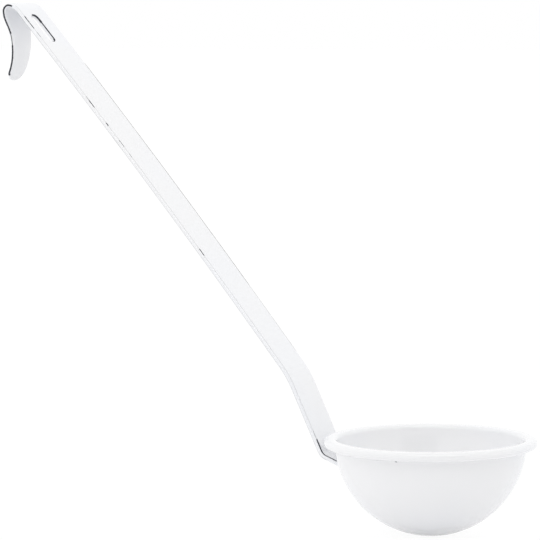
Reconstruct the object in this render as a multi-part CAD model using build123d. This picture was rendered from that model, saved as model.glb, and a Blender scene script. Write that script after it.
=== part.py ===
from build123d import *
from dataclasses import dataclass
from math import acos, asin, atan2, cos, degrees, radians, sin, sqrt, tan
import os

# The origin is the middle of the flat under the bowl. +Z is up along the bowl's axis. The handle
# rises towards -X and lies in the plane Y = 0. Lengths are in millimetres, angles in degrees.

# Glass coat over all the steel
enamel = 0.2

# Bowl, over the enamel: the ball is its round wall, the bead its rolled rim
rim_diameter = 100.0
bead_reach = 5.0
bead_height = 4.3
bead_drop = 1.22
base_diameter = 10.0

# Bowl's bare sheet, and what is left between the wall and the tucked end of the curl
bowl_sheet = 0.8
curl_gap = 0.25

# Handle's bare strip, with radii on the middle of its thickness
strip_sheet = 1.6
strip_width = 21.2
strip_taper = 1.2
taper_blend = 4000.0
edge_round = 0.6
foot_reach = 3.6
foot_drop = 6.95
foot_fall_angle = 20.0
foot_bend_radius = 5.5
lower_lean_angle = 26.3
lower_run = 32.3
elbow_radius = 52.0
upper_lean_angle = 40.4
upper_run = 227.5
top_lean_angle = 43.4

# Hook at the strip's top: it turns over backwards and comes down as a leaf-shaped tongue
shoulder_radius = 9.7
shoulder_turn_angle = 33.4
crest_radius = 3.1
neck_radius = 19.3
neck_turn_angle = 19.6
tongue_radius = 31.3
tongue_turn_angle = 50.5
leaf_start_drop = 1.5
leaf_start_blend = 6.0
leaf_neck_drop = 14.2
leaf_neck_inset = 2.7
leaf_neck_blend = 30.0
leaf_drop = 37.5
leaf_end_inset = 2.6
leaf_end_share = 0.981

# Hang slot in the bare strip, nearer to one edge
slot_length = 18.4
slot_width = 5.4
slot_offset = 2.1
slot_below_hook = 12.8

# Tab turned down on the bowl's wall, and the two spot welds that hold it
tab_length = 14.0
tab_bend_radius = 2.5
tab_corner_radius = 6.0
weld_diameter = 4.0
weld_spacing = 8.5
weld_depth_share = 0.5

# How far a cut or a trimmed shape runs past what it meets
overrun = 6.0

# Nearer than this, two places are the same, and a direction is level
same_place = 0.0001

# Where a face or an edge is looked at, as shares of its own length
face_shares = (0.2, 0.5, 0.8)
edge_shares = (0, 0.5, 1)


@dataclass(frozen=True)
class Run:
    """A straight stretch of the strip."""

    length: float


@dataclass(frozen=True)
class Bend:
    """A round stretch of the strip, on the middle of its thickness; a left turn is positive."""

    radius: float
    turn: float


def heading(angle: float) -> Vector:
    """Unit vector at an angle in a flat drawing."""
    return Vector(cos(radians(angle)), sin(radians(angle)))


def bend_tangent(radius: float, turn: float) -> float:
    """Distance from a bend's corner to where its round starts."""
    return radius * tan(radians(turn / 2))


# Middle of the ball, and the bead's two round ends
rim_radius = rim_diameter / 2
ball_radius = rim_radius - bead_reach
ball_height = sqrt(ball_radius**2 - (base_diameter / 2) ** 2)
ball_middle = Vector(0, ball_height)
bead_radius = bead_height / 2
bead_middle_height = ball_height - bead_drop

# On every layer the bead's inner round touches the wall's round, so their middles are this far apart
middle_distance = ball_radius - bowl_sheet - 2 * enamel + bead_radius
bead_lean = degrees(asin(bead_drop / middle_distance))
bead_inner = Vector(sqrt(middle_distance**2 - bead_drop**2), bead_middle_height)
bead_outer = Vector(rim_radius - bead_radius, bead_middle_height)

# The curl's end stops where its outer corner is curl_gap from the wall
curl_outer_radius = bead_radius - enamel
curl_inner_radius = curl_outer_radius - bowl_sheet
seat_radius = ball_radius - enamel
tuck_reach = seat_radius + curl_gap
tuck_square = middle_distance**2 + curl_outer_radius**2 - tuck_reach**2
tuck_angle = 90 + bead_lean - degrees(acos(tuck_square / (2 * middle_distance * curl_outer_radius)))


def flat_angle(depth: float) -> float:
    """Angle from the ball's middle at which a layer's round wall ends in its flat."""
    return -degrees(asin((ball_height - depth) / (ball_radius - depth)))


def wall_arc(depth: float, low: float, high: float) -> Edge:
    """Round part of the wall, on the layer at a depth under its outer face, between two angles."""
    radius = ball_radius - depth
    return ThreePointArc(*[ball_middle + heading(a) * radius for a in (low, (low + high) / 2, high)])


def bead_line(radius: float, tuck: float) -> list[Edge]:
    """A line round the bead: from the wall over the top, down, and back under it by an angle."""
    over = JernArc(
        bead_inner + heading(180 - bead_lean) * radius, heading(90 - bead_lean), radius, bead_lean - 90
    )
    top = Line(over @ 1, bead_outer + heading(90) * radius)
    nose = JernArc(top @ 1, heading(0), radius, -180)
    under = Line(nose @ 1, bead_inner + heading(-90) * radius)
    back = JernArc(under @ 1, heading(180), radius, -tuck)
    return [over, top, nose, under, back]


def wall_outline(outer_depth: float, inner_depth: float) -> list[Edge]:
    """Flat and round wall between two layers, open where the bead begins."""
    outer = wall_arc(outer_depth, flat_angle(outer_depth), -bead_lean)
    inner = wall_arc(inner_depth, flat_angle(inner_depth), -bead_lean)
    return [
        outer,
        inner,
        Line((0, outer_depth), (0, inner_depth)),
        Line((0, outer_depth), outer @ 0),
        Line((0, inner_depth), inner @ 0),
    ]


def steel_outline() -> Face:
    """Half section of the bare sheet, with its rim curled outwards and tucked back to the wall."""
    outside = bead_line(curl_outer_radius, tuck_angle)
    inside = bead_line(curl_inner_radius, tuck_angle)
    sheet_end = Line(inside[-1] @ 1, outside[-1] @ 1)
    return make_face(wall_outline(enamel, enamel + bowl_sheet) + outside + inside + [sheet_end])


def hollow_outline() -> Face:
    """Half section of the hollow that the curl shuts in; enamel closes it at the tucked end."""
    inside = bead_line(curl_inner_radius, tuck_angle)
    seam = inside[-1] @ 1
    seam_angle = degrees(atan2(seam.Y - ball_height, seam.X))
    wall = wall_arc(enamel, seam_angle, -bead_lean)
    return make_face(inside + [Line(seam, wall @ 0), wall])


def coated_outline() -> Face:
    """Half section of the bowl over its enamel, with its bead and sheet as one."""
    wall = wall_outline(0, bowl_sheet + 2 * enamel)
    mouth = Line(wall[0] @ 1, wall[1] @ 1)
    return make_face(wall + [mouth]) + make_face(bead_line(bead_radius, 90 + bead_lean))


def turned(outline: Face) -> Part:
    """A half section turned once round the bowl's axis."""
    return revolve(Plane.XZ * outline, Axis.Z)


def ball(radius: float) -> Part:
    """A ball about the middle of the bowl's round wall."""
    return Pos(0, 0, ball_height) * Sphere(radius)


def beside_course(start: Vector, angle: float, course: list, left: float) -> list[Edge]:
    """Lines that follow a course at a distance to its left."""
    point = start + heading(angle + 90) * left
    lines = []
    for piece in course:
        if isinstance(piece, Run):
            lines.append(Line(point, point + heading(angle) * piece.length))
        else:
            radius = piece.radius - left if piece.turn > 0 else piece.radius + left
            lines.append(JernArc(point, heading(angle), radius, piece.turn))
            angle += piece.turn
        point = lines[-1] @ 1
    return lines


def side_outline(start: Vector, angle: float, course: list, half: float) -> Face:
    """Side view of a strip of a half thickness that follows a course."""
    left = beside_course(start, angle, course, half)
    right = beside_course(start, angle, course, -half)
    caps = [Line(left[0] @ 0, right[0] @ 0), Line(left[-1] @ 1, right[-1] @ 1)]
    return make_face(left + right + caps)


def front_outline(points: list, radii: list) -> Face:
    """Front view from its right side's points, top first, each corner rounded by its radius."""
    left = [(-across, up) for across, up in reversed(points)]
    outline = make_face(Polyline(points + left, close=True))
    for (across, up), radius in zip(points, radii):
        if radius > 0:
            pair = [outline.vertices().sort_by_distance((y, up))[0] for y in (across, -across)]
            outline = fillet(pair, radius)
    return outline


def side_block(outline: Face) -> Part:
    """A side view drawn out to both sides past the strip's edges."""
    return extrude(Plane.XZ * outline, strip_width / 2 + overrun, both=True)


def front_block(outline: Face) -> Part:
    """A front view, Y across and Z up, drawn out backwards past the hook."""
    return extrude(Plane.YZ * outline, fold.X - rim_radius)


def meets_ball(point: Vector, angle: float, radius: float) -> Vector:
    """Where a line from a point outside first meets a circle about the ball's middle."""
    way = heading(angle)
    offset = point - ball_middle
    along = offset.dot(way)
    return point - way * (along + sqrt(along**2 - offset.length**2 + radius**2))


# The foot's corner, on the middle of the strip, stands outside and below the bead
foot_corner = Vector(-rim_radius - foot_reach, bead_middle_height - bead_radius - foot_drop)
foot_heading = 180 - foot_fall_angle
foot_turn = 90 - foot_fall_angle - lower_lean_angle
foot_inside = (foot_reach + bead_reach + overrun) / cos(radians(foot_fall_angle))
foot_start = foot_corner - heading(foot_heading) * foot_inside

# The strip runs from inside the bowl's wall up to the hook, and over it until it points straight down
bow_turn = top_lean_angle - upper_lean_angle
run_course = [
    Run(foot_inside - bend_tangent(foot_bend_radius, foot_turn)),
    Bend(foot_bend_radius, -foot_turn),
    Run(lower_run),
    Bend(elbow_radius, upper_lean_angle - lower_lean_angle),
    Bend(upper_run / radians(bow_turn), bow_turn),
]
hook_course = [
    Bend(shoulder_radius, shoulder_turn_angle),
    Bend(crest_radius, 180 - top_lean_angle - shoulder_turn_angle),
]
tongue_course = [
    Bend(neck_radius, neck_turn_angle),
    Bend(tongue_radius, -tongue_turn_angle),
    Run(leaf_drop),
]
run_end = beside_course(foot_start, foot_heading, run_course, 0)[-1] @ 1
fold = beside_course(foot_start, foot_heading, run_course + hook_course, 0)[-1] @ 1
crest_height = fold.Y + crest_radius
taper_top = run_end.Y - slot_length - overrun

# The tab starts where the foot's middle meets the bowl's steel
tab_root = meets_ball(foot_corner, -foot_fall_angle, seat_radius)
tab_root_angle = degrees(asin((ball_height - tab_root.Y) / seat_radius))
tab_low_angle = tab_root_angle + degrees(tab_length / seat_radius)
tab_low = ball_height - seat_radius * sin(radians(tab_low_angle))


def blank_outline(grow: float) -> Face:
    """Front view of the strip up to the hook: parallel at the top, tapered, with a rounded tab."""
    top_half = strip_width / 2 + grow
    points = [
        (top_half, crest_height + overrun),
        (top_half, taper_top),
        ((strip_width - strip_taper) / 2 + grow, tab_low - grow),
    ]
    return front_outline(points, [0, taper_blend, tab_corner_radius + grow])


def leaf_outline(grow: float) -> Face:
    """Front view of the hook's tongue, from full width to its rounded end."""
    top_half = strip_width / 2 + grow
    neck_half = top_half - leaf_neck_inset
    end_half = neck_half - leaf_end_inset
    points = [
        (top_half, crest_height + overrun),
        (top_half, fold.Y - leaf_start_drop),
        (neck_half, crest_height - leaf_neck_drop),
        (end_half, crest_height - leaf_drop - grow),
    ]
    return front_outline(points, [0, leaf_start_blend, leaf_neck_blend, end_half * leaf_end_share])


def under_foot_outline(top: Vector) -> Face:
    """Side view of the space under the foot's top face."""
    outer = top + heading(foot_heading) * overrun
    inner = top - heading(foot_heading) * (foot_inside + overrun)
    down = Vector(0, -rim_radius)
    return make_face(Polyline(outer, inner, inner + down, outer + down, close=True))


def is_side(face: Face) -> bool:
    """Whether a face is part of the strip's edge: nowhere does it look forwards or backwards."""
    places = [(u, v) for u in face_shares for v in face_shares]
    return all(abs(face.normal_at(u, v).X) < same_place for u, v in places)


def long_edges(body: Part) -> list[Edge]:
    """Edges between the strip's broad faces and its edge."""
    broad = [edge for face in body.faces() if not is_side(face) for edge in face.edges()]
    side = [edge for face in body.faces() if is_side(face) for edge in face.edges()]
    return [edge for edge in side if any(edge.is_same(other) for other in broad)]


def on_seat(edge: Edge, radius: float) -> bool:
    """Whether an edge lies on the ball that the tab is seated on."""
    places = [edge @ share - Vector(0, 0, ball_height) for share in edge_shares]
    return all(abs(place.length - radius) < same_place for place in places)


def crease(body: Part, above: float, radius: float) -> Edge:
    """The bend line where one of the foot's faces meets a ball, above or below its middle."""
    place = meets_ball(foot_corner + heading(90 - foot_fall_angle) * above, -foot_fall_angle, radius)
    return body.edges().sort_by_distance((place.X, 0, place.Y))[0]


def slot_cutter(grow: float) -> Part:
    """The hang slot, square through the strip, its walls moved in by grow."""
    tilt = heading(90 + top_lean_angle)
    middle = run_end - tilt * slot_below_hook
    plane = Plane(
        origin=(middle.X, -slot_offset, middle.Y),
        x_dir=(tilt.X, 0, tilt.Y),
        z_dir=(tilt.Y, 0, -tilt.X),
    )
    outline = SlotOverall(slot_length - 2 * grow, slot_width - 2 * grow)
    return extrude(plane * outline, overrun / 2, both=True)


def handle_body(grow: float) -> Part:
    """The bent strip with its tongue, tab and slot, every face moved out by grow."""
    half = strip_sheet / 2 + grow
    seat = seat_radius + grow
    tab_outer = seat_radius + strip_sheet + grow
    strip = side_block(side_outline(foot_start, foot_heading, run_course + hook_course, half))
    tab = ball(tab_outer) & side_block(under_foot_outline(foot_corner + heading(90 - foot_fall_angle) * half))
    main = ((strip + tab) & front_block(blank_outline(grow))) - ball(seat)
    tongue = side_block(side_outline(fold, 270, tongue_course, half)) & front_block(leaf_outline(grow))
    body = fillet(crease(main + tongue, -half, tab_outer), tab_bend_radius - grow)
    if grow == 0:
        body = fillet(crease(body, half, seat), tab_bend_radius + strip_sheet)
        edges = long_edges(body)
    else:
        edges = [edge for edge in long_edges(body) if not on_seat(edge, seat)]
    return fillet(edges, edge_round + grow) - slot_cutter(grow)


def weld(side: int) -> Part:
    """One spot weld's nugget, half way into both sheets, on one side of the tab's middle."""
    down = (tab_root_angle + tab_low_angle) / 2
    across = degrees(asin(side * weld_spacing / 2 / (seat_radius * cos(radians(down)))))
    inner = seat_radius - bowl_sheet * weld_depth_share
    outer = seat_radius + strip_sheet * weld_depth_share
    place = Pos(0, 0, ball_height) * Rot(0, 0, 180 - across) * Rot(0, 90 + down, 0)
    return place * Pos(0, 0, (inner + outer) / 2) * Cylinder(weld_diameter / 2, outer - inner)


bowl_bare = turned(steel_outline())
handle_bare = handle_body(0)
bowl_enamel = turned(coated_outline()) - turned(hollow_outline()) - bowl_bare - handle_bare
handle_enamel = handle_body(enamel) - handle_bare
weld_near = weld(-1)
weld_far = weld(1)
bowl_steel = bowl_bare - weld_near - weld_far
handle_steel = handle_bare - weld_near - weld_far

nodes = {
    "bowl_steel": bowl_steel,
    "handle_steel": handle_steel,
    "weld_near": weld_near,
    "weld_far": weld_far,
    "bowl_enamel": bowl_enamel,
    "handle_enamel": handle_enamel,
}

os.makedirs("parts", exist_ok=True)
for name, shape in nodes.items():
    export_step(shape, f"parts/{name}.step")
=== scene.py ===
import logging
import math
from collections.abc import Callable
from dataclasses import dataclass, field
from enum import Enum
from functools import partial, reduce

import bmesh
import bpy
from mathutils import Matrix, Vector


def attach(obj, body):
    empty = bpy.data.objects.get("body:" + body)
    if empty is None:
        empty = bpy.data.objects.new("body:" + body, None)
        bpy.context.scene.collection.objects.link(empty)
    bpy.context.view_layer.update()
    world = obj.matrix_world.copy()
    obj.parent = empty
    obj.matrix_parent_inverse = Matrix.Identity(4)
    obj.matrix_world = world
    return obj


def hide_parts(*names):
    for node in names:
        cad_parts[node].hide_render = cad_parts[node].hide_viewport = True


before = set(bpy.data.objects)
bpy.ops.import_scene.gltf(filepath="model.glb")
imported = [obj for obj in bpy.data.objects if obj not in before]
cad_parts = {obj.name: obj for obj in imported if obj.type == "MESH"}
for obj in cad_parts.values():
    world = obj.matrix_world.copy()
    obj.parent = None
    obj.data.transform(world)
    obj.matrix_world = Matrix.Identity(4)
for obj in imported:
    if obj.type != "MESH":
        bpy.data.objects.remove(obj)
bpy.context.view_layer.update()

logging.basicConfig(level=logging.INFO, format="%(message)s")
LOG = logging.getLogger("soup_ladle")

# One millimetre in metres
MM = 0.001

# The ball that the outside of the bowl's wall follows
BALL_HEIGHT = 44.721 * MM
BALL_RADIUS = 45.0 * MM

# An edge that turns more than this is rounded
CREASE_ANGLE = math.radians(50)

# Places nearer than this are the same, and a place this near to the wall lies on it
NEAREST = 0.02 * MM
SEATED = 0.25 * MM

WHITE = (1.0, 1.0, 1.0, 1.0)
SEEN_RAYS = ("Is Camera Ray", "Is Glossy Ray", "Is Transmission Ray")

Part = bmesh.types.BMVert | bmesh.types.BMEdge | bmesh.types.BMFace
Piece = bpy.types.Object
Socket = bpy.types.NodeSocket
Point = tuple[float, float]
Pair = tuple[float, float]
Triple = tuple[float, float, float]
Colour = tuple[float, float, float, float]


class Side(Enum):
    """The strip's two long edges, as the sign of Y."""

    NEAR = -1
    FAR = 1


class Corner(Enum):
    """Where a line runs on the strip's rounded edge."""

    FRONT = "front"
    MIDDLE = "middle"
    BACK = "back"


class Slot(Enum):
    """The record's material slots."""

    ENAMEL = "white_enamel"


def heading(degrees: float) -> Vector:
    """Unit vector in the XZ plane, from +X towards +Z.

    Args:
        degrees: Angle from +X.

    Returns:
        The vector, with Y zero.
    """
    return Vector((math.cos(math.radians(degrees)), 0, math.sin(math.radians(degrees))))


def smooth_step(share: float) -> float:
    """Ease a share from 0 to 1, flat at both ends."""
    share = min(max(share, 0.0), 1.0)
    return share * share * (3 - 2 * share)


def blended_largest(first: float, second: float, blend: float) -> float:
    """The larger of two lengths, eased where they are within a blend of each other.

    Args:
        first: One length.
        second: The other.
        blend: Difference below which they are eased.

    Returns:
        The eased length.
    """
    share = min(max(0.5 + (first - second) / (2 * blend), 0.0), 1.0)
    return first * share + second * (1 - share) + blend * share * (1 - share)


def start_piece(name: str) -> Piece:
    """Name the primitive that was just added and open it for editing.

    Args:
        name: The piece's name.

    Returns:
        The piece, in edit mode, with all of it selected.
    """
    piece = bpy.context.object
    piece.name = name
    piece.data.name = name
    bpy.ops.object.mode_set(mode="EDIT")
    bpy.ops.mesh.select_all(action="SELECT")
    return piece


def pick(piece: Piece, wanted: Callable[[Part], bool], kind: str) -> int:
    """Select the parts of an open mesh for which a test holds, and nothing else.

    Args:
        piece: The piece, in edit mode.
        wanted: The test.
        kind: VERT, EDGE or FACE.

    Returns:
        How many were selected.
    """
    bpy.ops.mesh.select_mode(type=kind)
    bpy.ops.mesh.select_all(action="DESELECT")
    mesh = bmesh.from_edit_mesh(piece.data)
    mesh.normal_update()
    parts = {"VERT": mesh.verts, "EDGE": mesh.edges, "FACE": mesh.faces}[kind]
    found = [part for part in parts if wanted(part)]
    for part in found:
        part.select_set(True)
    mesh.select_flush_mode()
    bmesh.update_edit_mesh(piece.data)
    return len(found)


def apply_modifier(piece: Piece, kind: str, **settings: object) -> None:
    """Add a modifier to a piece and apply it.

    Args:
        piece: The piece, in object mode.
        kind: The modifier's type.
        **settings: Its settings.
    """
    bpy.ops.object.select_all(action="DESELECT")
    bpy.context.view_layer.objects.active = piece
    piece.select_set(True)
    modifier = piece.modifiers.new(kind.lower(), kind)
    for key, value in settings.items():
        setattr(modifier, key, value)
    bpy.ops.object.modifier_apply(modifier=modifier.name)


def close_piece(piece: Piece) -> None:
    """Leave edit mode with faces outwards, smooth all over, normals led by the broad faces.

    Args:
        piece: The piece, in edit mode.
    """
    bpy.ops.mesh.select_all(action="SELECT")
    bpy.ops.mesh.normals_make_consistent(inside=False)
    bpy.ops.object.mode_set(mode="OBJECT")
    bpy.ops.object.shade_smooth()
    apply_modifier(piece, "WEIGHTED_NORMAL", mode="FACE_AREA", weight=50, keep_sharp=False)


def arc_points(middle: Point, radius: float, first: float, last: float, steps: int) -> list[Point]:
    """Points along an arc in a half section.

    Args:
        middle: The arc's middle, as distance from the axis and height.
        radius: Its radius.
        first: Angle of the first point, in degrees from outwards to upwards.
        last: Angle of the last point.
        steps: Number of steps between them.

    Returns:
        The points, both ends included.
    """
    angles = [math.radians(first + (last - first) * step / steps) for step in range(steps + 1)]
    return [(middle[0] + radius * math.cos(a), middle[1] + radius * math.sin(a)) for a in angles]


class Graph:
    """Writes the nodes of one material, or of the world."""

    def __init__(self, owner: bpy.types.Material | bpy.types.World) -> None:
        """Start with no nodes.

        Args:
            owner: The material or world.
        """
        self.owner = owner
        owner.use_nodes = True
        self.tree = owner.node_tree
        self.tree.nodes.clear()

    def node(self, kind: str, fed: dict | None = None, **settings: object) -> bpy.types.Node:
        """Add a node, set its properties and feed its inputs.

        Args:
            kind: The node's type.
            fed: What the inputs take, by their name or number.
            **settings: The properties.

        Returns:
            The node.
        """
        made = self.tree.nodes.new(kind)
        for key, value in settings.items():
            setattr(made, key, value)
        for key, value in (fed or {}).items():
            self.feed(made.inputs[key], value)
        return made

    def feed(self, socket: Socket, value: object) -> None:
        """Link a socket to another one, or set it to a plain value.

        Args:
            socket: The socket to set.
            value: The other socket, or the value.
        """
        if isinstance(value, Socket):
            self.tree.links.new(value, socket)
        else:
            socket.default_value = value

    def math(self, operation: str, *values: object) -> Socket:
        """Result of a Math node on up to three sockets or numbers."""
        return self.node("ShaderNodeMath", dict(enumerate(values)), operation=operation).outputs[0]

    def ramp(self, value: object, low: float, high: float) -> Socket:
        """Smooth change from 0 to 1 as a value goes from low to high, whichever is larger.

        Args:
            value: The value.
            low: Where the result is 0.
            high: Where the result is 1.

        Returns:
            The result.
        """
        (first, start), (last, end) = sorted(((low, 0.0), (high, 1.0)))
        fed = {"Value": value, "From Min": first, "From Max": last, "To Min": start, "To Max": end}
        return self.node("ShaderNodeMapRange", fed, interpolation_type="SMOOTHSTEP").outputs["Result"]

    def band(self, value: object, middle: float, half: float, soft: float) -> Socket:
        """1 within half of a middle value, falling to 0 over a soft width."""
        off = self.math("ABSOLUTE", self.math("SUBTRACT", value, middle))
        return self.ramp(off, half + soft, half)

    def noise(self, place: object, size: float, detail: float = 2.0, seed: float = 0.0) -> Socket:
        """Noise of a feature size, in metres where the place is in metres."""
        fed = {"Vector": place, "W": seed, "Scale": 1.0 / size, "Detail": detail}
        return self.node("ShaderNodeTexNoise", fed, noise_dimensions="4D").outputs["Fac"]

    def product(self, *values: object) -> Socket:
        """All values multiplied."""
        return reduce(partial(self.math, "MULTIPLY"), values)

    def largest(self, *values: object) -> Socket:
        """The largest of several values."""
        return reduce(partial(self.math, "MAXIMUM"), values)

    def attribute(self, name: str) -> Socket:
        """A number that the mesh carries at its vertices."""
        return self.node("ShaderNodeAttribute", attribute_name=name).outputs["Fac"]

    def mix(self, share: object, first: object, second: object) -> Socket:
        """Two colours mixed by a share.

        Args:
            share: How much of the second colour.
            first: The first colour.
            second: The second colour.

        Returns:
            The mixed colour.
        """
        made = self.node("ShaderNodeMix", {"Factor": share}, data_type="RGBA")
        colours = [socket for socket in made.inputs if socket.type == "RGBA"]
        self.feed(colours[0], first)
        self.feed(colours[1], second)
        return next(socket for socket in made.outputs if socket.type == "RGBA")

    def bump(self, height: object, distance: float, strength: float = 1.0) -> Socket:
        """Normal of a surface that a height of 1 raises by a distance in metres."""
        fed = {"Strength": strength, "Distance": distance, "Height": height}
        return self.node("ShaderNodeBump", fed).outputs["Normal"]

    def seen(self) -> Socket:
        """1 for what the camera sees, also in gloss and through glass, and 0 for light on the object."""
        path = self.node("ShaderNodeLightPath")
        return self.largest(*[path.outputs[name] for name in SEEN_RAYS])

    def glow(self, strength: float) -> bpy.types.Node:
        """Shader that gives off white light."""
        return self.node("ShaderNodeEmission", {"Color": WHITE, "Strength": strength})

    def finish(self, shader: bpy.types.Node) -> bpy.types.Material:
        """Join a shader to the material's output."""
        self.node("ShaderNodeOutputMaterial", {"Surface": shader.outputs[0]})
        return self.owner


@dataclass(frozen=True)
class WhiteEnamel:
    """Glossy white vitreous enamel whose dark ground coat shows in thin lines, and which also takes painted
    shade towards the coat colours.

    Lengths are in metres.
    """

    white: Colour = (0.928, 0.938, 0.962, 1.0)
    warm: Colour = (0.942, 0.942, 0.948, 1.0)
    # Ground coat colours; painted shade on the tongue is mixed towards them too
    ground_coat_and_shade: Colour = (0.010, 0.013, 0.024, 1.0)
    brown_coat_and_shade: Colour = (0.050, 0.036, 0.022, 1.0)
    tone_size: float = 0.06
    tone_turn: Pair = (0.35, 0.65)
    roughness_low: float = 0.05
    roughness_high: float = 0.12
    roughness_size: float = 0.012
    refraction: float = 1.52
    peel_size: float = 0.0035
    peel_share: float = 0.12
    wave_size: float = 0.022
    coat_height: float = -0.3
    bump_depth: float = 0.00012
    bump_strength: float = 0.6

    def build(self, name: str, marks: Callable[[Graph, Socket], tuple]) -> bpy.types.Material:
        """Make the material for one piece.

        Args:
            name: The material's name.
            marks: Gives how much the ground coat shows or painted shade darkens, and how brown it is.

        Returns:
            The material.
        """
        graph = Graph(bpy.data.materials.new(name))
        place = graph.node("ShaderNodeTexCoord").outputs["Object"]
        warmth = graph.ramp(graph.noise(place, self.tone_size), *self.tone_turn)
        tone = graph.mix(warmth, self.white, self.warm)
        # dark holds the ground coat lines and specks, and the painted shade on the tongue
        dark, brown = marks(graph, place)
        coat = graph.mix(brown, self.ground_coat_and_shade, self.brown_coat_and_shade)
        uneven = graph.noise(place, self.roughness_size, detail=3.0, seed=4.0)
        rough = {"Value": uneven, "To Min": self.roughness_low, "To Max": self.roughness_high}
        dimples = graph.noise(place, self.peel_size, detail=1.0, seed=7.0)
        peel = graph.math("MULTIPLY", dimples, self.peel_share)
        wave = graph.noise(place, self.wave_size, detail=1.0, seed=9.0)
        dent = graph.math("MULTIPLY", dark, self.coat_height)
        height = graph.math("ADD", graph.math("ADD", peel, wave), dent)
        return graph.finish(graph.node("ShaderNodeBsdfPrincipled", {
            "Base Color": graph.mix(dark, tone, coat),
            "Roughness": graph.node("ShaderNodeMapRange", rough).outputs["Result"],
            "IOR": self.refraction,
            "Normal": graph.bump(height, self.bump_depth, self.bump_strength),
        }))


@dataclass(frozen=True)
class HiddenSteel:
    """Plain steel under the enamel, with a fine grain and a fired grey scale."""

    clean: Colour = (0.42, 0.42, 0.43, 1.0)
    scaled: Colour = (0.16, 0.16, 0.18, 1.0)
    scale_size: float = 0.006
    scale_turn: Pair = (0.42, 0.62)
    clean_roughness: float = 0.35
    scale_roughness: float = 0.25
    grain_size: float = 0.0006
    grain_depth: float = 0.00002

    def build(self, name: str) -> bpy.types.Material:
        """Make the material.

        Args:
            name: The material's name.

        Returns:
            The material.
        """
        graph = Graph(bpy.data.materials.new(name))
        place = graph.node("ShaderNodeTexCoord").outputs["Object"]
        scale = graph.ramp(graph.noise(place, self.scale_size, detail=4.0), *self.scale_turn)
        grain = graph.noise(place, self.grain_size, detail=3.0)
        return graph.finish(graph.node("ShaderNodeBsdfPrincipled", {
            "Base Color": graph.mix(scale, self.clean, self.scaled),
            "Metallic": 1.0,
            "Roughness": graph.math("MULTIPLY_ADD", scale, self.scale_roughness, self.clean_roughness),
            "Normal": graph.bump(grain, self.grain_depth),
        }))


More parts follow.
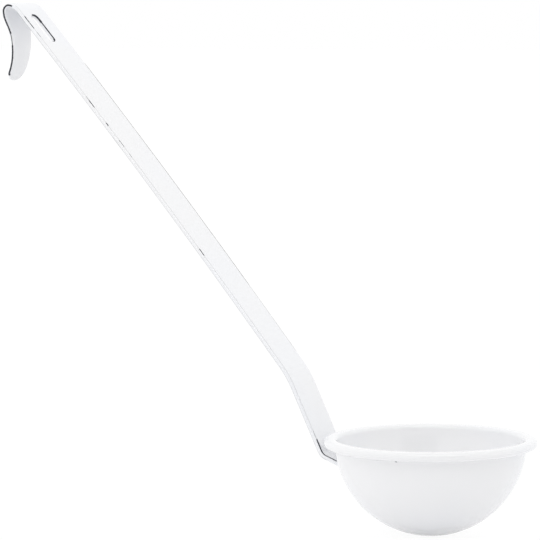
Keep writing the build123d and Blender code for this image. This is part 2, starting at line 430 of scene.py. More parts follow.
@dataclass
class Bowl:
    """The bowl's enamel, inside and out, with its rolled bead. Lengths are in metres."""

    enamel: WhiteEnamel
    wall: float = 1.2 * MM
    bead_radius: float = 2.15 * MM
    bead_inner: float = 45.934 * MM
    bead_outer: float = 47.85 * MM
    bead_height: float = 43.501 * MM
    bead_lean: float = 1.52
    seam_radius: float = 0.7 * MM
    flat_radius: float = 5.0 * MM
    spokes: int = 176
    wall_rings: int = 44
    seam_steps: int = 5
    under_steps: int = 4
    nose_steps: int = 18
    over_steps: int = 9
    speck_level: float = 40.85 * MM
    speck_half: float = 0.45 * MM
    speck_soft: float = 0.2 * MM
    speck_inner: Pair = (44.4 * MM, 44.5 * MM)
    speck_size: float = 0.0021
    speck_turn: Pair = (0.54, 0.68)
    patch_size: float = 0.012
    patch_turn: Pair = (0.48, 0.56)

    def seam_angles(self) -> tuple[Point, float, float]:
        """Where the glass fills the corner under the bead.

        Returns:
            The fillet's middle, and the angles of the wall and the bead at which it touches them.
        """
        far = BALL_RADIUS + self.seam_radius
        near = self.bead_radius + self.seam_radius
        gap = math.hypot(self.bead_inner, BALL_HEIGHT - self.bead_height)
        base = math.atan2(self.bead_height - BALL_HEIGHT, self.bead_inner)
        turn = math.acos((far**2 + gap**2 - near**2) / (2 * far * gap))
        angle = base - turn
        middle = (far * math.cos(angle), BALL_HEIGHT + far * math.sin(angle))
        on_bead = math.atan2(middle[1] - self.bead_height, middle[0] - self.bead_inner)
        return middle, math.degrees(angle), math.degrees(on_bead)

    def section(self) -> list[Point]:
        """Half section from the flat underneath, over the bead, to the flat inside.

        Returns:
            The points, as distance from the axis and height.
        """
        ball = (0.0, BALL_HEIGHT)
        inner = BALL_RADIUS - self.wall
        low = -math.degrees(math.acos(self.flat_radius / BALL_RADIUS))
        inner_low = -math.degrees(math.asin((BALL_HEIGHT - self.wall) / inner))
        seam, on_wall, on_bead = self.seam_angles()
        outside = arc_points(ball, BALL_RADIUS, low, on_wall, self.wall_rings)
        fillet = arc_points(seam, self.seam_radius, on_wall + 180, on_bead + 180, self.seam_steps)
        if on_bead > 0:
            on_bead -= 360
        bead = (self.bead_inner, self.bead_height)
        tip = (self.bead_outer, self.bead_height)
        under = arc_points(bead, self.bead_radius, on_bead, -90, self.under_steps)
        nose = arc_points(tip, self.bead_radius, -90, 90, self.nose_steps)
        over = arc_points(bead, self.bead_radius, 90, 180 - self.bead_lean, self.over_steps)
        inside = arc_points(ball, inner, -self.bead_lean, inner_low, self.wall_rings)
        return outside + fillet[1:] + under[1:] + nose + over + inside[1:]

    def shape(self) -> Piece:
        """Draw the section up ring by ring from a disc.

        Returns:
            The finished piece.
        """
        section = self.section()
        bpy.ops.object.select_all(action="DESELECT")
        bpy.ops.mesh.primitive_circle_add(
            vertices=self.spokes, radius=section[0][0], fill_type="TRIFAN", location=(0, 0, 0)
        )
        piece = start_piece("bowl_glaze")
        bpy.ops.mesh.select_mode(type="EDGE")
        bpy.ops.mesh.region_to_loop()
        for (radius, height), (wider, higher) in zip(section, section[1:]):
            bpy.ops.mesh.extrude_region_move(
                TRANSFORM_OT_translate={"value": (0, 0, higher - height)}
            )
            share = wider / radius
            bpy.ops.transform.resize(value=(share, share, 1), center_override=(0, 0, 0))
        bpy.ops.mesh.extrude_region_move(TRANSFORM_OT_translate={"value": (0, 0, 0)})
        bpy.ops.mesh.merge(type="CENTER")
        close_piece(piece)
        return piece

    def marks(self, graph: Graph, place: Socket) -> tuple[Socket, float]:
        """Ground coat specks in the corner under the bead.

        Args:
            graph: The material's graph.
            place: The place on the piece.

        Returns:
            How much the ground coat shows, and how brown it is.
        """
        split = graph.node("ShaderNodeSeparateXYZ", {0: place})
        corner = graph.band(split.outputs["Z"], self.speck_level, self.speck_half, self.speck_soft)
        level = graph.node("ShaderNodeVectorMath", {0: place, 1: (1, 1, 0)}, operation="MULTIPLY")
        flat = graph.node("ShaderNodeVectorMath", {0: level.outputs[0]}, operation="LENGTH")
        outside = graph.ramp(flat.outputs["Value"], *self.speck_inner)
        specks = graph.ramp(graph.noise(place, self.speck_size, detail=3.0, seed=2.0), *self.speck_turn)
        patches = graph.ramp(graph.noise(place, self.patch_size, detail=1.0, seed=5.0), *self.patch_turn)
        return graph.product(corner, outside, specks, patches), 0.0

    def dress(self) -> Piece:
        """Build the piece, give it its finish and body, and hide the imported enamel node.

        Returns:
            The piece.
        """
        piece = self.shape()
        piece.data.materials.append(self.enamel.build("bowl_enamel_finish", self.marks))
        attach(piece, "root")
        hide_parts("bowl_enamel")
        LOG.info("%s: %d faces", piece.name, len(piece.data.polygons))
        return piece


@dataclass(frozen=True)
class CoatLine:
    """A line on the strip's edge where the dark ground coat shows, in millimetres.

    The place is the distance in from the edge, or through the strip for a middle line.
    """

    side: Side
    corner: Corner
    place: float
    half: float
    first: float
    last: float
    strength: float = 1.0
    gaps: float = 0.0
    soft: float = 0.12
    fade: float = 0.8


near_wall = partial(CoatLine, Side.NEAR, Corner.MIDDLE)
near_front = partial(CoatLine, Side.NEAR, Corner.FRONT)
near_back = partial(CoatLine, Side.NEAR, Corner.BACK)
far_front = partial(CoatLine, Side.FAR, Corner.FRONT)

# The lines as the photo shows them, and a few faint ones for the side that it doesn't show
STRIP_LINES = (
    near_wall(0.05, 0.42, 304.0, 322.0),
    near_wall(0.0, 0.2, 321.0, 330.0, gaps=0.40),
    near_wall(-0.05, 0.45, 328.5, 343.5),
    near_wall(-0.05, 0.7, 343.0, 346.6),
    CoatLine(Side.FAR, Corner.MIDDLE, 0.0, 0.3, 306.0, 344.0, gaps=0.40),
    near_front(0.75, 0.14, 33.0, 302.0, strength=0.20, soft=0.25),
    near_front(0.75, 0.3, 291.0, 294.6, gaps=0.36),
    near_front(0.75, 0.26, 287.0, 290.2, gaps=0.40),
    near_front(0.75, 0.16, 281.0, 284.0, strength=0.6),
    near_front(0.75, 0.14, 233.8, 240.8, strength=0.8, gaps=0.45),
    near_front(0.72, 0.24, 234.4, 238.2),
    near_front(0.75, 0.3, 222.0, 223.4),
    near_front(0.75, 0.18, 208.3, 212.0, strength=0.8, gaps=0.38),
    near_front(0.75, 0.15, 201.6, 203.4, strength=0.6),
    near_front(0.75, 0.26, 139.2, 142.8, gaps=0.34),
    near_front(0.9, 0.45, 12.0, 32.5),
    near_front(0.75, 0.2, 32.0, 37.0, strength=0.5, gaps=0.45),
    near_back(0.2, 0.18, 22.0, 300.0, strength=0.34, soft=0.25),
    near_back(0.2, 0.22, 208.5, 215.7, strength=0.6),
    near_back(0.2, 0.22, 287.0, 299.0, strength=0.5, gaps=0.40),
    far_front(0.5, 0.4, 119.0, 262.0, strength=0.95, gaps=0.30),
    far_front(0.5, 0.36, 78.0, 119.0, strength=0.5, gaps=0.34),
    far_front(0.45, 0.3, 80.5, 83.0, strength=0.8),
    CoatLine(Side.FAR, Corner.BACK, 0.3, 0.16, 70.0, 290.0, strength=0.5, gaps=0.56),
)


@dataclass(frozen=True)
class CoatSpread:
    """Where the ground coat may show on the strip, and where shade is painted on the tongue's inner face, in
    millimetres, and how its edges wander.

    A pair says where something starts to show and where it shows in full. A pool is given by its
    first and last place along the strip and by half its width.
    """

    wander_size: float = 0.0016
    wander_reach: float = 0.35
    break_size: float = 0.005
    break_soft: float = 0.04
    front_face: Pair = (-0.35, -0.6)
    back_face: Pair = (0.35, 0.6)
    wall_inset: Pair = (0.7, 0.45)
    clear_of_front: Pair = (-0.97, -0.88)
    side_start: float = 2.0
    side_soft: float = 0.5
    rim_place: float = 0.1
    rim_half: float = 0.15
    rim_soft: float = 0.1
    rim_wall: Pair = (-3.2, -1.8)
    pools: tuple[Triple, ...] = ((291.0, 296.2, 0.5), (277.0, 279.6, 0.28))
    pool_soft: float = 0.12
    pool_fade: float = 0.5
    pool_face: Pair = (-0.1, -0.35)
    pool_wall: Pair = (-3.4, -2.6)
    # Painted shade: the tongue's inner face, which the strip shades, is darkened by this share from the first
    # place along onwards, on its back face
    painted_tongue_shade: float = 0.065
    tongue_shade_start: Pair = (303.0, 309.0)
    tongue_shade_face: Pair = (0.1, 0.5)
    brown_side: Pair = (2.0, 4.0)


@dataclass(frozen=True)
class Stretch:
    """A straight or round stretch of the strip's middle line, in metres and degrees."""

    turn: float
    radius: float = 0.0
    length: float = 0.0
    steps: int = 1

    def walk(self, angle: float) -> list[tuple[Vector, float]]:
        """Steps along the stretch.

        Args:
            angle: Heading at its start.

        Returns:
            Each step's move, and the heading after it.
        """
        if not self.radius:
            return [(heading(angle) * (self.length / self.steps), angle)] * self.steps
        step = self.turn / self.steps
        chord = 2 * self.radius * math.sin(math.radians(abs(step)) / 2)
        return [
            (heading(angle + step * (count + 0.5)) * chord, angle + step * (count + 1))
            for count in range(self.steps)
        ]


@dataclass
class Handle:
    """The strip handle's enamel, from the tab on the bowl to the hook's tongue, in metres."""

    enamel: WhiteEnamel
    thickness: float = 2.0 * MM
    edge_round: float = 0.8 * MM
    tab_radius: float = 45.97 * MM
    tab_low: float = 36.05
    tab_corner: float = 6.2 * MM
    tab_first: float = 8.45
    tab_high: float = 19.487
    foot_width: float = 10.2 * MM
    top_width: float = 10.8 * MM
    foot_level: float = 17.8 * MM
    taper_level: float = 220.9 * MM
    leaf_levels: Triple = (243.57 * MM, 233.97 * MM, 210.47 * MM)
    leaf_widths: Triple = (10.8 * MM, 8.1 * MM, 5.5 * MM)
    leaf_blend: float = 0.4 * MM
    leaf_start_blend: float = 0.24 * MM
    tip_corner: float = 4.83 * MM
    tip_stretch: float = 1.1287
    tip: Point = (-238.9 * MM, 210.47 * MM)
    slot_size: Pair = (18.0 * MM, 5.0 * MM)
    slot_middle: Triple = (-219.02 * MM, -2.1 * MM, 236.01 * MM)
    slot_heading: float = 133.4
    slot_round: float = 0.35 * MM
    cuts_across: float = 2.0 * MM
    tab_ease: float = 0.5 * MM
    foot_fall: float = 20.0
    bend_end: float = -45.35 * MM
    form_segments: int = 256
    corner_segments: int = 10
    slot_segments: int = 3
    edge_segments: int = 5
    tab_share: float = 1.001
    tab_cuts: Pair = (0.3755, 0.6301)
    tip_cuts: Pair = (214.4 * MM, 212.9 * MM)
    tongue_from: float = -230 * MM
    hook_above: float = 200 * MM
    cut_from: float = -51 * MM
    form_from: float = -50 * MM
    punch_depth: float = 8 * MM
    punch_segments: int = 12
    punch_round: float = 0.999
    slot_depth: float = 2 * MM
    lines: tuple[CoatLine, ...] = STRIP_LINES
    coat: CoatSpread = CoatSpread()
    place_names: tuple[str, ...] = ("along", "across", "through", "near_inset", "far_inset", "slot_gap")
    places: list[Vector] = field(default_factory=list)
    widths: list[float] = field(default_factory=list)

    def stretches(self) -> list[Stretch]:
        """The middle line's stretches above the tab's first facet, up to the tip's start.

        Returns:
            The stretches, from the tab to the tongue.
        """
        bow = 4345 * MM
        tab = Stretch(-(self.tab_low - self.tab_first - self.tab_high), self.tab_radius, steps=6)
        tab_bend = Stretch(50.513, 3.3 * MM, steps=8)
        foot = Stretch(0, length=6.606 * MM, steps=2)
        foot_bend = Stretch(-43.7, 5.5 * MM, steps=8)
        lower_run = Stretch(0, length=32.3 * MM, steps=5)
        elbow = Stretch(14.1, 52.0 * MM, steps=8)
        upper_run = Stretch(2.7, bow, steps=26)
        run_end = Stretch(0.3, bow, steps=1)
        shoulder = Stretch(33.4, 9.7 * MM, steps=9)
        crest = Stretch(103.2, 3.1 * MM, steps=22)
        neck = Stretch(19.6, 19.3 * MM, steps=6)
        tongue = Stretch(-41.54, 31.3 * MM, steps=16)
        low_end = [tab, tab_bend, foot, foot_bend, lower_run]
        return low_end + [elbow, upper_run, run_end, shoulder, crest, neck, tongue]

    def middle_line(self) -> list[Vector]:
        """Places of the strip's middle, from the tab's low end to the start of the tip.

        Returns:
            The places, with Y zero.
        """
        ball = Vector((0, 0, BALL_HEIGHT))
        first = self.tab_low - self.tab_first
        places = [ball + heading(180 + angle) * self.tab_radius for angle in (self.tab_low, first)]
        angle = 90 + first
        for stretch in self.stretches():
            for move, angle in stretch.walk(angle):
                places.append(places[-1] + move)
        return places

    def half_width(self, place: Vector, on_leaf: bool) -> float:
        """Half of the strip's width at a place.

        Args:
            place: A place on the middle line.
            on_leaf: Whether it is on the hook's tongue.

        Returns:
            The half width.
        """
        if not on_leaf:
            share = (place.z - self.foot_level) / (self.taper_level - self.foot_level)
            width = self.foot_width + (self.top_width - self.foot_width) * min(max(share, 0), 1)
            reach = (place - Vector((0, 0, BALL_HEIGHT))).length
            if reach < self.tab_radius * self.tab_share:
                width /= math.sqrt(1 - (width / self.tab_radius) ** 2)
            return width
        start, neck, tip = self.leaf_levels
        wide, narrow, end = self.leaf_widths
        upper = wide - (wide - narrow) * (start - place.z) / (start - neck)
        lower = narrow - (narrow - end) * (neck - place.z) / (neck - tip)
        flank = blended_largest(upper, lower, self.leaf_blend)
        return -blended_largest(-flank, -self.top_width, self.leaf_start_blend)

    def sheet(self) -> Piece:
        """Draw the strip's middle sheet out from its low end, place by place.

        Returns:
            The piece, in edit mode, as a sheet with no thickness.
        """
        places = self.middle_line()
        highest = max(range(len(places)), key=lambda index: places[index].z)
        widths = [self.half_width(place, index > highest) for index, place in enumerate(places)]
        start = places[-1]
        end = start + (Vector((self.tip[0], 0, self.tip[1])) - start) / self.tip_stretch
        places.append(end)
        widths.append(self.leaf_widths[2])
        bpy.ops.object.select_all(action="DESELECT")
        bpy.ops.mesh.primitive_plane_add(size=2, location=(0, 0, 0))
        piece = start_piece("handle_glaze")
        first, second = places[0], places[1]
        for row, place, width in ((-1, first, widths[0]), (1, second, widths[1])):
            pick(piece, lambda vertex: vertex.co.x * row > 0.5, "VERT")
            bpy.ops.transform.resize(value=(1, width, 1), center_override=(0, 0, 0))
            bpy.ops.transform.translate(value=(place.x - row, 0, place.z))
        pick(piece, lambda edge: all((v.co - second).length < abs(v.co.y) * 1.01 for v in edge.verts), "EDGE")
        for index in range(2, len(places)):
            move = places[index] - places[index - 1]
            bpy.ops.mesh.extrude_region_move(TRANSFORM_OT_translate={"value": move})
            share = widths[index] / widths[index - 1]
            bpy.ops.transform.resize(value=(1, share, 1), center_override=(0, 0, 0))
        self.places = places
        self.widths = widths
        self.round_ends(piece, start)
        return piece

    def round_ends(self, piece: Piece, tip_start: Vector) -> None:
        """Round the tab's and the tongue's corners and cut both ends across.

        Args:
            piece: The sheet, in edit mode.
            tip_start: Where the tongue's last facet starts.
        """
        low, end = self.places[0], self.places[-1]

        def in_tip(face: bmesh.types.BMFace) -> bool:
            """Whether a face is in the tongue's last facet."""
            middle = face.calc_center_median()
            return self.hook_above < middle.z < tip_start.z and middle.x < self.tongue_from

        for place, radius in ((low, self.tab_corner), (end, self.tip_corner)):
            flat = Vector((place.x, place.z))
            pick(piece, lambda vertex: (vertex.co.xz - flat).length < NEAREST, "VERT")
            bpy.ops.mesh.bevel(offset=radius, affect="VERTICES", segments=self.corner_segments)
        pick(piece, lambda vertex: self.hook_above < vertex.co.z < tip_start.z - NEAREST
             and vertex.co.x < tip_start.x + NEAREST, "VERT")
        bpy.ops.transform.resize(
            value=(self.tip_stretch, 1, self.tip_stretch), center_override=tip_start
        )
        for level in self.tip_cuts:
            pick(piece, in_tip, "FACE")
            bpy.ops.mesh.bisect(plane_co=(0, 0, level), plane_no=(0, 0, 1))
        ball = Vector((0, 0, BALL_HEIGHT))
        for share in self.tab_cuts:
            angle = self.tab_low - self.tab_first * share
            pick(piece, lambda face: face.calc_center_median().z < self.places[1].z, "FACE")
            bpy.ops.mesh.bisect(
                plane_co=ball + heading(180 + angle) * self.tab_radius, plane_no=heading(90 + angle)
            )
        reach = int(self.foot_width / self.cuts_across)
        for count in range(-reach + 1, reach):
            pick(piece, lambda face: face.calc_center_median().x > self.cut_from, "FACE")
            bpy.ops.mesh.bisect(plane_co=(0, count * self.cuts_across, 0), plane_no=(0, 1, 0))

    def form_tab(self, piece: Piece) -> None:
        """Press the tab to the round of the bowl's wall.

        Args:
            piece: The sheet, in object mode.
        """
        ball = Vector((0, 0, BALL_HEIGHT))
        top = BALL_HEIGHT - self.tab_radius * math.sin(math.radians(self.tab_high))
        bpy.ops.object.mode_set(mode="EDIT")
        reach = round(self.foot_width / self.cuts_across)
        for count in range(-reach, reach + 1):
            across = count * self.cuts_across
            deeper = self.tab_radius - math.sqrt(self.tab_radius**2 - across**2)
            slide = deeper / math.cos(math.radians(self.tab_high + self.foot_fall))
            pick(piece, lambda vertex: abs(vertex.co.y - across) < self.cuts_across / 2
                 and vertex.co.z > top - NEAREST and vertex.co.x > self.bend_end - NEAREST, "VERT")
            bpy.ops.transform.translate(value=heading(-self.foot_fall) * slide)
        bpy.ops.object.mode_set(mode="OBJECT")
        bpy.ops.object.select_all(action="DESELECT")
        bpy.ops.mesh.primitive_uv_sphere_add(
            segments=self.form_segments, ring_count=self.form_segments // 2, radius=self.tab_radius,
            location=ball,
        )
        form = bpy.context.object
        group = piece.vertex_groups.new(name="tab")
        for vertex in piece.data.vertices:
            away = (vertex.co - ball).length - self.tab_radius
            if vertex.co.x > self.form_from:
                low = 1 - smooth_step((vertex.co.z - top) / self.tab_ease + 0.5)
                close = 1 - smooth_step(away / self.tab_ease)
                group.add([vertex.index], max(low, close), "REPLACE")
        apply_modifier(
            piece, "SHRINKWRAP", target=form, wrap_method="PROJECT", use_project_x=True,
            use_negative_direction=True, use_positive_direction=True, vertex_group="tab",
        )
        bpy.data.objects.remove(form)
        piece.vertex_groups.clear()

    def cut_slot(self, piece: Piece) -> None:
        """Punch the hang slot through the strip.

        Args:
            piece: The thick strip, in object mode.
        """
        bpy.ops.object.select_all(action="DESELECT")
        bpy.ops.mesh.primitive_cube_add(size=1, location=(0, 0, 0))
        punch = start_piece("slot_punch")
        length, width = self.slot_size
        bpy.ops.transform.resize(value=(length, width, self.punch_depth), center_override=(0, 0, 0))
        pick(punch, lambda edge: abs(edge.verts[0].co.z - edge.verts[1].co.z) > MM, "EDGE")
        radius = width / 2 * self.punch_round
        bpy.ops.mesh.bevel(offset=radius, affect="EDGES", segments=self.punch_segments)
        bpy.ops.object.mode_set(mode="OBJECT")
        punch.rotation_euler = (0, math.radians(180 - self.slot_heading), 0)
        punch.location = self.slot_middle
        bpy.ops.object.transform_apply(location=True, rotation=True, scale=True)
        apply_modifier(piece, "BOOLEAN", operation="DIFFERENCE", solver="EXACT", object=punch)
        bpy.data.objects.remove(punch)

    def slot_place(self, place: Vector) -> tuple[float, float]:
        """A place as seen square to the slot.

        Args:
            place: Any place.

        Returns:
            Its distances from the slot's middle, along and across it.
        """
        offset = place - Vector(self.slot_middle)
        return offset.dot(heading(self.slot_heading)), offset.y

    def near_slot(self, place: Vector) -> bool:
        """Whether a place is on the slot's wall or rim.

        Args:
            place: Any place.

        Returns:
            Whether it is.
        """
        along, across = self.slot_place(place)
        depth = (place - Vector(self.slot_middle)).dot(heading(self.slot_heading - 90))
        length, width = self.slot_size
        inside = abs(along) < length / 2 + NEAREST and abs(across) < width / 2 + NEAREST
        return inside and abs(depth) < self.slot_depth

    def round_edges(self, piece: Piece) -> None:
        """Round the slot's rims and the strip's edges, but not where the tab lies on the bowl.

        Args:
            piece: The strip with its slot, in edit mode.
        """
        ball = Vector((0, 0, BALL_HEIGHT))

        def creased(edge: bmesh.types.BMEdge) -> bool:
            """Whether an edge is sharp."""
            return len(edge.link_faces) == 2 and edge.calc_face_angle() > CREASE_ANGLE

        def rim(edge: bmesh.types.BMEdge) -> bool:
            """Whether an edge is sharp and runs round the slot."""
            return creased(edge) and all(self.near_slot(vertex.co) for vertex in edge.verts)

        def long_edge(edge: bmesh.types.BMEdge) -> bool:
            """Whether an edge is sharp and runs neither round the slot nor on the bowl's wall."""
            seated = all((vertex.co - ball).length < BALL_RADIUS + SEATED for vertex in edge.verts)
            return creased(edge) and not seated and not rim(edge)

        rims = pick(piece, rim, "EDGE")
        bpy.ops.mesh.bevel(offset=self.slot_round, affect="EDGES", segments=self.slot_segments)
        edges = pick(piece, long_edge, "EDGE")
        bpy.ops.mesh.bevel(offset=self.edge_round, affect="EDGES", segments=self.edge_segments)
        LOG.info("slot rims %d, long edges %d", rims, edges)

    def note_places(self, piece: Piece) -> None:
        """Store where each vertex is on the strip, in millimetres, for the finish.

        Args:
            piece: The finished piece.
        """
        lengths = [0.0]
        for first, second in zip(self.places, self.places[1:]):
            lengths.append(lengths[-1] + (second - first).length)
        values = {name: [] for name in self.place_names}
        for vertex in piece.data.vertices:
            flat = Vector((vertex.co.x, 0, vertex.co.z))
            best = None
            for index, (first, second) in enumerate(zip(self.places, self.places[1:])):
                way = second - first
                share = min(max((flat - first).dot(way) / way.length_squared, 0), 1)
                offset = flat - (first + way * share)
                if best is None or offset.length < best[0]:
                    left = Vector((-way.z, 0, way.x)).normalized()
                    width = self.widths[index] * (1 - share) + self.widths[index + 1] * share
                    best = (offset.length, lengths[index] + way.length * share, offset.dot(left), width)
            along, across = self.slot_place(vertex.co)
            straight = (self.slot_size[0] - self.slot_size[1]) / 2
            gap = math.hypot(max(abs(along) - straight, 0), across) - self.slot_size[1] / 2
            side = vertex.co.y
            found = (best[1], side, best[2], best[3] + side, best[3] - side, gap)
            for name, number in zip(self.place_names, found):
                values[name].append(number / MM)
        for name, numbers in values.items():
            layer = piece.data.attributes.new(name, "FLOAT", "POINT")
            layer.data.foreach_set("value", numbers)

    def shape(self) -> Piece:
        """Make the strip: sheet, tab, thickness, slot, rounded edges.

        Returns:
            The finished piece.
        """
        piece = self.sheet()
        bpy.ops.object.mode_set(mode="OBJECT")
        self.form_tab(piece)
        apply_modifier(
            piece, "SOLIDIFY", thickness=self.thickness, offset=0.0, use_even_offset=True,
            use_quality_normals=True,
        )
        self.cut_slot(piece)
        bpy.context.view_layer.objects.active = piece
        bpy.ops.object.mode_set(mode="EDIT")
        bpy.ops.mesh.select_all(action="SELECT")
        bpy.ops.mesh.normals_make_consistent(inside=False)
        self.round_edges(piece)
        close_piece(piece)
        self.note_places(piece)
        return piece

    def line_mask(self, graph: Graph, line: CoatLine, where: dict[str, Socket]) -> Socket:
        """How much the ground coat shows along one line.

        Args:
            graph: The material's graph.
            line: The line.
            where: The strip's coordinates, the ragged offset and the noise for gaps.

        Returns:
            The amount, from 0 to the line's strength.
        """
        inset = where["near_inset"] if line.side is Side.NEAR else where["far_inset"]
        through = where["through"]
        on_wall = line.corner is Corner.MIDDLE
        rough = graph.math("ADD", through if on_wall else inset, where["ragged"])
        band = graph.band(rough, line.place, line.half, line.soft)
        if on_wall:
            clear = graph.ramp(through, *self.coat.clear_of_front)
            face = graph.product(graph.ramp(inset, *self.coat.wall_inset), clear)
        else:
            is_front = line.corner is Corner.FRONT
            face = graph.ramp(through, *(self.coat.front_face if is_front else self.coat.back_face))
        start = self.coat.side_start
        outwards = line.side.value
        side = graph.ramp(where["across"], start * outwards, (start + self.coat.side_soft) * outwards)
        middle = (line.first + line.last) / 2
        reach = graph.band(where["along"], middle, (line.last - line.first) / 2, line.fade)
        parts = [band, face, side, reach]
        if line.gaps > 0:
            soft = self.coat.break_soft
            parts.append(graph.ramp(where["breaks"], line.gaps - soft, line.gaps + soft))
        return graph.math("MULTIPLY", graph.product(*parts), line.strength)

    def marks(self, graph: Graph, place: Socket) -> tuple[Socket, object]:
        """Ground coat lines along the edges and round the slot, and painted shade on the tongue's inner face.

        Args:
            graph: The material's graph.
            place: The place on the piece.

        Returns:
            How much the ground coat shows or painted shade darkens, and how brown it is.
        """
        coat = self.coat
        where = {name: graph.attribute(name) for name in self.place_names}
        wander = graph.math("SUBTRACT", graph.noise(place, coat.wander_size, detail=2.0, seed=1.0), 0.5)
        where["ragged"] = graph.math("MULTIPLY", wander, coat.wander_reach)
        where["breaks"] = graph.noise(place, coat.break_size, detail=3.0, seed=3.0)
        shown = [self.line_mask(graph, line, where) for line in self.lines]
        far_wall = graph.ramp(where["across"], *coat.rim_wall)
        front = graph.ramp(where["through"], *coat.pool_face)
        rough_gap = graph.math("ADD", where["slot_gap"], where["ragged"])
        upper_wall = graph.ramp(where["through"], *coat.front_face)
        rim = graph.band(rough_gap, coat.rim_place, coat.rim_half, coat.rim_soft)
        for first, last, half in coat.pools:
            middle = (first + last) / 2
            reach = graph.band(where["along"], middle, (last - first) / 2, coat.pool_fade)
            wide = graph.band(rough_gap, coat.rim_place, half, coat.pool_soft)
            on_far_half = graph.ramp(where["across"], *coat.pool_wall)
            shown.append(graph.product(wide, reach, front, on_far_half))
        shown.append(graph.product(rim, far_wall, upper_wall))
        # Painted shade: a faint darkening of the tongue's inner face, where the strip shades it
        tongue = graph.ramp(where["along"], *coat.tongue_shade_start)
        inner = graph.ramp(where["through"], *coat.tongue_shade_face)
        shown.append(graph.math("MULTIPLY", graph.product(tongue, inner), coat.painted_tongue_shade))
        return graph.largest(*shown), graph.ramp(where["across"], *coat.brown_side)

    def dress(self) -> Piece:
        """Build the piece, give it its finish and body, and hide the imported enamel node.

        Returns:
            The piece.
        """
        piece = self.shape()
        piece.data.materials.append(self.enamel.build("handle_enamel_finish", self.marks))
        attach(piece, "root")
        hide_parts("handle_enamel")
        LOG.info("%s: %d faces", piece.name, len(piece.data.polygons))
        return piece


@dataclass
class HiddenParts:
    """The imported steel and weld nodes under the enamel, which stay as they are."""

    steel: HiddenSteel

    def dress(self) -> None:
        """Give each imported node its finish."""
        weld = HiddenSteel(clean=(0.3, 0.31, 0.34, 1.0), scaled=(0.1, 0.1, 0.14, 1.0), scale_size=0.0015)
        steels = {"bowl_steel": self.steel, "handle_steel": self.steel, "weld_near": weld, "weld_far": weld}
        for name, steel in steels.items():
            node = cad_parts[name]
            node.data.materials.clear()
            node.data.materials.append(steel.build(f"{name}_finish"))
            LOG.info("%s keeps its packed shape", name)


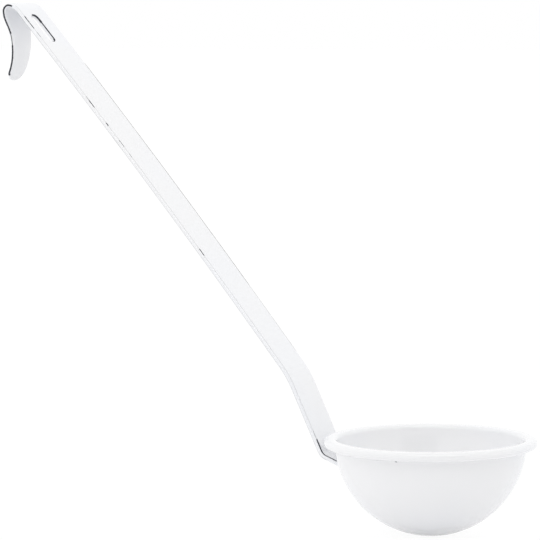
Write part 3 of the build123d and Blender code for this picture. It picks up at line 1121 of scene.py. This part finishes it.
@dataclass
class Studio:
    """Camera, lamps, world and floor. Lengths are in metres, angles in degrees."""

    distance: float = 1.40684
    eye_height: float = 0.24979
    yaw: float = 28.356
    pan: float = 3.047
    pitch: float = 5.085
    roll: float = -0.267
    lens: float = 201.855
    sensor_width: float = 36.0
    clip_start: float = 0.05
    clip_end: float = 100.0
    lamp_place: Triple = (0.5, -0.9, 1.3)
    lamp_aim: Triple = (-0.1, 0, 0.12)
    lamp_size: float = 1.2
    lamp_watts: float = 3.6
    floor_half: float = 12.0
    floor_drop: float = 0.05 * MM
    floor_paper: Colour = (0.955, 0.958, 0.97, 1.0)
    floor_glow: float = 1.03
    floor_glow_share: float = 0.92
    world_level: float = 0.98
    opening_turn: float = 14.0
    opening_away: float = 1.7
    opening_half: float = 0.75
    opening_level: float = 0.18

    def add_camera(self) -> None:
        """Stand the camera where the photograph was taken from."""
        yaw, turn, pitch, roll = (
            math.radians(angle) for angle in (self.yaw, self.yaw + self.pan, self.pitch, self.roll)
        )
        forward = Vector((
            -math.sin(turn) * math.cos(pitch), math.cos(turn) * math.cos(pitch), -math.sin(pitch)
        ))
        level = Vector((math.cos(turn), math.sin(turn), 0))
        raised = level.cross(forward)
        right = level * math.cos(roll) + raised * math.sin(roll)
        top = raised * math.cos(roll) - level * math.sin(roll)
        data = bpy.data.cameras.new("photo_camera")
        data.lens = self.lens
        data.sensor_width = self.sensor_width
        data.clip_start = self.clip_start
        data.clip_end = self.clip_end
        camera = bpy.data.objects.new("photo_camera", data)
        bpy.context.scene.collection.objects.link(camera)
        turned = Matrix((right, top, -forward)).transposed().to_4x4()
        place = Vector((self.distance * math.sin(yaw), -self.distance * math.cos(yaw), self.eye_height))
        camera.matrix_world = Matrix.Translation(place) @ turned
        bpy.context.scene.camera = camera

    def add_lamp(self) -> None:
        """Hang a square softbox that looks at the ladle from above."""
        data = bpy.data.lights.new("top_softbox", "AREA")
        data.shape = "SQUARE"
        data.size = self.lamp_size
        data.energy = self.lamp_watts
        lamp = bpy.data.objects.new("top_softbox", data)
        bpy.context.scene.collection.objects.link(lamp)
        aim = Vector(self.lamp_aim) - Vector(self.lamp_place)
        lamp.rotation_euler = aim.to_track_quat("-Z", "Y").to_euler()
        lamp.location = self.lamp_place

    def add_world(self) -> None:
        """Make the world an even pale grey that camera, gloss and glass see as white."""
        graph = Graph(bpy.data.worlds.new("studio"))
        bpy.context.scene.world = graph.owner
        lights = [
            graph.node("ShaderNodeBackground", {"Color": WHITE, "Strength": level}).outputs[0]
            for level in (self.world_level, 1.0)
        ]
        both = graph.node("ShaderNodeMixShader", {0: graph.seen(), 1: lights[0], 2: lights[1]})
        graph.node("ShaderNodeOutputWorld", {"Surface": both.outputs[0]})

    def add_floor(self) -> None:
        """Lay a white floor that keeps a soft shadow."""
        bpy.ops.object.select_all(action="DESELECT")
        bpy.ops.mesh.primitive_plane_add(size=2 * self.floor_half, location=(0, 0, -self.floor_drop))
        floor = bpy.context.object
        floor.name = "floor"
        bpy.ops.object.transform_apply(location=True, rotation=True, scale=True)
        graph = Graph(bpy.data.materials.new("floor_finish"))
        both = graph.node("ShaderNodeMixShader", {
            0: graph.math("MULTIPLY", graph.seen(), self.floor_glow_share),
            1: graph.node("ShaderNodeBsdfDiffuse", {"Color": self.floor_paper}).outputs[0],
            2: graph.glow(self.floor_glow).outputs[0],
        })
        floor.data.materials.append(graph.finish(both))

    def add_opening(self) -> None:
        """Stand the dim opening of the light tent behind the camera, out of the picture."""
        angle = math.radians(self.yaw + self.opening_turn)
        right, back = self.opening_away * math.sin(angle), -self.opening_away * math.cos(angle)
        bpy.ops.object.select_all(action="DESELECT")
        bpy.ops.mesh.primitive_plane_add(
            size=2 * self.opening_half,
            location=(right, back, self.opening_half),
            rotation=(math.pi / 2, 0, angle),
        )
        opening = bpy.context.object
        opening.name = "tent_opening"
        bpy.ops.object.transform_apply(location=True, rotation=True, scale=True)
        graph = Graph(bpy.data.materials.new("tent_opening_finish"))
        opening.data.materials.append(graph.finish(graph.glow(self.opening_level)))
        opening.visible_camera = False

    def set_up(self) -> None:
        """Build the whole studio."""
        self.add_camera()
        self.add_world()
        self.add_floor()
        self.add_opening()
        self.add_lamp()
        bpy.context.scene.view_settings.view_transform = "Standard"
        LOG.info("studio set up")


def main() -> None:
    """Build the ladle's looks round the frame, and the studio."""
    enamel = WhiteEnamel()
    Studio().set_up()
    Bowl(enamel).dress()
    Handle(enamel).dress()
    HiddenParts(HiddenSteel()).dress()


if __name__ == "__main__":
    main()
